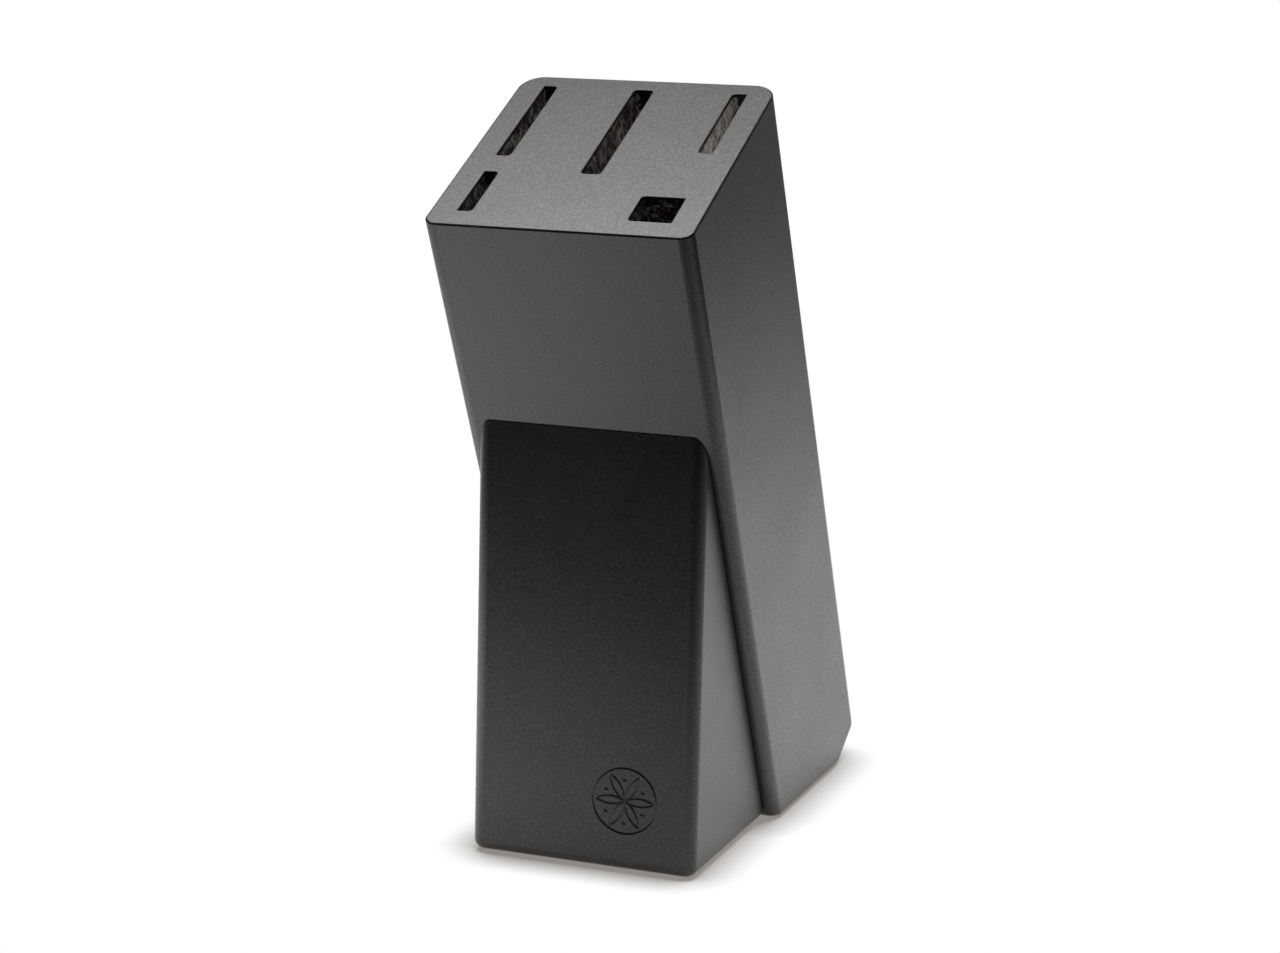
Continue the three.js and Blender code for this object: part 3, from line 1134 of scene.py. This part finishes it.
def table_material(studio):
    """White table top. The block mirrors a pool of light on it that ends in a dark room, and
    the camera sees it white right out to the horizon. Both see the block's contact shadow."""
    nodes = Nodes(bpy.data.materials.new("White table"))
    place = nodes.add("ShaderNodeNewGeometry", output="Position")
    across, back = (place.dot(axis) for axis in (ACROSS, (0, 1, 0)))
    beside = ((across - studio.glow_centre[0]) ** 2 + (back - studio.glow_centre[1]) ** 2) ** 0.5
    glow = studio.glow_brightness * (1 - beside.step(0, studio.glow_radius))
    pool = studio.pool_brightness * (1 - (1 - studio.far_light) * back.step(*studio.pool_back))
    lit = (pool + glow) * back.step(*studio.pool_front) * (1 - across.step(*studio.pool_side))
    open_sky = nodes.add(
        "ShaderNodeAmbientOcclusion",
        {"samples": SHADOW_SAMPLES},
        {"Distance": studio.shadow_reach, "Normal": nodes.vector(*studio.shadow_side)},
        "AO",
    )
    bright = nodes.mix(straight(nodes), nodes.grey(lit), tone((1, 1, 1)))
    lightness = (open_sky - SKY_SHUT) * SKY_CLEARING
    colour = nodes.mix(lightness, tone(studio.shadow), bright)
    return nodes.shown(nodes.add("ShaderNodeEmission", values={"Color": colour}))


def make_table(studio):
    """The surface that the block stands on."""
    made = bmesh.new()
    bmesh.ops.create_grid(made, x_segments=1, y_segments=1, size=TABLE_REACH)
    mesh = bpy.data.meshes.new("Table")
    made.to_mesh(mesh)
    made.free()
    mesh.materials.append(table_material(studio))
    table = bpy.data.objects.new("Table", mesh)
    table.location.z = cad_box[0][2] - TABLE_DROP
    bpy.context.scene.collection.objects.link(table)


def make_room(studio):
    """A dark room with a pale backdrop behind the table. The camera sees white."""
    nodes = Nodes(bpy.data.worlds.new("Studio"))
    towards = nodes.add("ShaderNodeTexCoord", output="Generated")
    behind = towards.dot((0, 1, 0)).step(*BACKDROP_RISE)
    room = nodes.mix(behind, tone((1, 1, 1), studio.room), tone((1, 1, 1), studio.backdrop))
    seen = nodes.mix(straight(nodes), room, tone((1, 1, 1)))
    shader = nodes.add("ShaderNodeBackground", values={"Color": seen})
    bpy.context.scene.world = nodes.shown(shader, "ShaderNodeOutputWorld")


def make_softbox(studio):
    """A rectangular softbox that hangs over the block and faces straight down."""
    width, depth = studio.softbox_size
    light = bpy.data.lights.new("Overhead softbox", "AREA")
    light.shape = "RECTANGLE"
    light.size, light.size_y = width, depth
    light.energy = studio.softbox_brightness * math.pi * width * depth
    box = bpy.data.objects.new("Overhead softbox", light)
    box.location = studio.softbox_place
    bpy.context.scene.collection.objects.link(box)


def make_camera(studio):
    """A camera on a boom that pans, tilts and rolls about the point it looks at."""
    camera = bpy.data.cameras.new("Camera")
    camera.lens = studio.lens
    holder = bpy.data.objects.new("Camera", camera)
    low, high = (Vector(corner) for corner in cad_box)
    pan = Matrix.Rotation(studio.azimuth, 4, "Z")
    tilt = Matrix.Rotation(math.pi / 2 - studio.elevation, 4, "X")
    roll = Matrix.Rotation(studio.roll, 4, "Z")
    back = Matrix.Translation((0, 0, studio.distance))
    holder.matrix_world = (
        Matrix.Translation((low + high) / 2 + Vector(studio.aim)) @ pan @ tilt @ roll @ back
    )
    bpy.context.scene.collection.objects.link(holder)
    bpy.context.scene.camera = holder


# ---- Operators --------------------------------------------------------------------

# Distance across and in depth from each board to the pith of the tree it was sawn from.
PITHS = {
    "left_cheek": (-0.13, 0.02),
    "left_core": (-0.03, -0.16),
    "right_core": (0.05, 0.21),
    "right_cheek": (0.16, 0.07),
    FOOT: (0.02, 0.14),
}
# How pale the walls of each board's channels are, in its front and rear half. The right boards' rear
# halves, round the rear right channel, are paler.
PALENESS = {
    "left_cheek": (0.04, 0.04),
    "left_core": (0.04, 0.04),
    "right_core": (0.0, 0.11),
    "right_cheek": (0.0, 0.30),
}


class KNIFEBLOCK_OT_boards(bpy.types.Operator):
    """Dress the four glued boards of the leaning body"""

    bl_idname = "knifeblock.boards"
    bl_label = "Glued boards"

    def execute(self, context):
        settings = context.scene.knife_block
        finish, width = settings.finish, settings.sizes.mouth_edge
        corners = corners_of(BOARDS)
        mouth = span_along("left_core", GRAIN)[1]
        for side in ("left", "right"):
            core_node, cheek_node = f"{side}_core", f"{side}_cheek"
            core, cheek = bench_copy(core_node), bench_copy(cheek_node)
            joint, outer = sorted((corner.x for corner in boxes[cheek_node]), key=abs)
            for board in (core, cheek):
                mark_milled(board, corners)
            ease_front_edge(cheek, outer, settings.sizes.front_edge)
            spans = joint_spans(core, core_node, joint)
            soften(core, inner_corners(core), settings.sizes.channel_corner, MILLED)
            soften(core, mouth_edges(core, core_node), width)
            for face in cheek.faces:
                if is_joint(face, cheek_node) and abs(face.verts[0].co.x - joint) < ON_FACE:
                    face.material_index = MILLED
            soften(cheek, cheek_mouths(cheek, cheek_node, joint, spans), width)
            lacquer_ends(core)
            for board, node in ((core, core_node), (cheek, cheek_node)):
                lacquer = black_lacquer(f"{node} lacquer", finish, GRAIN, PITHS[node])
                milled = milled_wood(f"{node} channels", finish, PALENESS[node], mouth=mouth)
                finished(board, f"{node}_board", node, [lacquer, milled])
        return {"FINISHED"}


class KNIFEBLOCK_OT_foot(bpy.types.Operator):
    """Dress the wedge foot and press the roundel into its front"""

    bl_idname = "knifeblock.foot"
    bl_label = "Wedge foot"

    def execute(self, context):
        settings = context.scene.knife_block
        foot = bench_copy(FOOT)
        mark_milled(foot, corners_of([FOOT]))
        for face in foot.faces:
            if face.normal.dot(DEPTH) > PARALLEL:
                face.material_index = MILLED
        press_roundel(foot, settings.sizes)
        lacquer = black_lacquer("Foot lacquer", settings.finish, UP, PITHS[FOOT])
        milled = milled_wood("Foot glue face", settings.finish, (0, 0), UP)
        finished(foot, "front_foot_wedge", FOOT, [lacquer, milled])
        return {"FINISHED"}


class KNIFEBLOCK_OT_dowels(bpy.types.Operator):
    """Dress the two dowels between the body and the foot"""

    bl_idname = "knifeblock.dowels"
    bl_label = "Dowels"

    def execute(self, context):
        settings = context.scene.knife_block
        beech = raw_beech("Raw beech", settings.finish)
        for node in DOWELS:
            finished(fluted_dowel(node, settings.sizes), f"{node}_pin", node, [beech])
        return {"FINISHED"}


class KNIFEBLOCK_OT_pads(bpy.types.Operator):
    """Dress the four rubber pads under the block"""

    bl_idname = "knifeblock.pads"
    bl_label = "Rubber pads"

    def execute(self, context):
        settings = context.scene.knife_block
        rubber = black_rubber("Black rubber", settings.finish)
        for node, screw in zip(PADS, SCREWS, strict=True):
            pad = moulded_pad(node, screw, settings.sizes)
            finished(pad, f"{node}_rubber", node, [rubber])
        return {"FINISHED"}


class KNIFEBLOCK_OT_screws(bpy.types.Operator):
    """Dress the four screws that hold the pads"""

    bl_idname = "knifeblock.screws"
    bl_label = "Pad screws"

    def execute(self, context):
        settings = context.scene.knife_block
        zinc = zinc_plate("Zinc plate", settings.finish)
        for node in SCREWS:
            finished(wood_screw(node, settings.sizes), f"{node}_zinc", node, [zinc])
        return {"FINISHED"}


class KNIFEBLOCK_OT_stage(bpy.types.Operator):
    """Set up the table, the room, the softbox and the camera"""

    bl_idname = "knifeblock.stage"
    bl_label = "Stage"

    def execute(self, context):
        studio = context.scene.knife_block.studio
        make_table(studio)
        make_room(studio)
        make_softbox(studio)
        make_camera(studio)
        context.scene.view_settings.view_transform = "Standard"
        return {"FINISHED"}


OPERATORS = (
    KNIFEBLOCK_OT_boards,
    KNIFEBLOCK_OT_foot,
    KNIFEBLOCK_OT_dowels,
    KNIFEBLOCK_OT_pads,
    KNIFEBLOCK_OT_screws,
    KNIFEBLOCK_OT_stage,
)


class KNIFEBLOCK_PT_sidebar(bpy.types.Panel):
    """Settings and steps of the knife block"""

    bl_label = "Knife Block"
    bl_space_type = "VIEW_3D"
    bl_region_type = "UI"
    bl_category = "Knife Block"

    def draw(self, context):
        settings = context.scene.knife_block
        for group in (settings.sizes, settings.finish, settings.studio):
            box = self.layout.box()
            for name in group.__annotations__:
                box.prop(group, name)
        for operator in OPERATORS:
            self.layout.operator(operator.bl_idname)


CLASSES = (
    KnifeBlockSizes,
    KnifeBlockFinish,
    KnifeBlockStudio,
    KnifeBlockSettings,
    *OPERATORS,
    KNIFEBLOCK_PT_sidebar,
)


def register():
    for item in CLASSES:
        bpy.utils.register_class(item)
    bpy.types.Scene.knife_block = PointerProperty(type=KnifeBlockSettings)


def unregister():
    del bpy.types.Scene.knife_block
    for item in reversed(CLASSES):
        bpy.utils.unregister_class(item)


def main():
    register()
    bpy.ops.knifeblock.boards()
    bpy.ops.knifeblock.foot()
    bpy.ops.knifeblock.dowels()
    bpy.ops.knifeblock.pads()
    bpy.ops.knifeblock.screws()
    bpy.ops.knifeblock.stage()


if __name__ == "__main__":
    main()
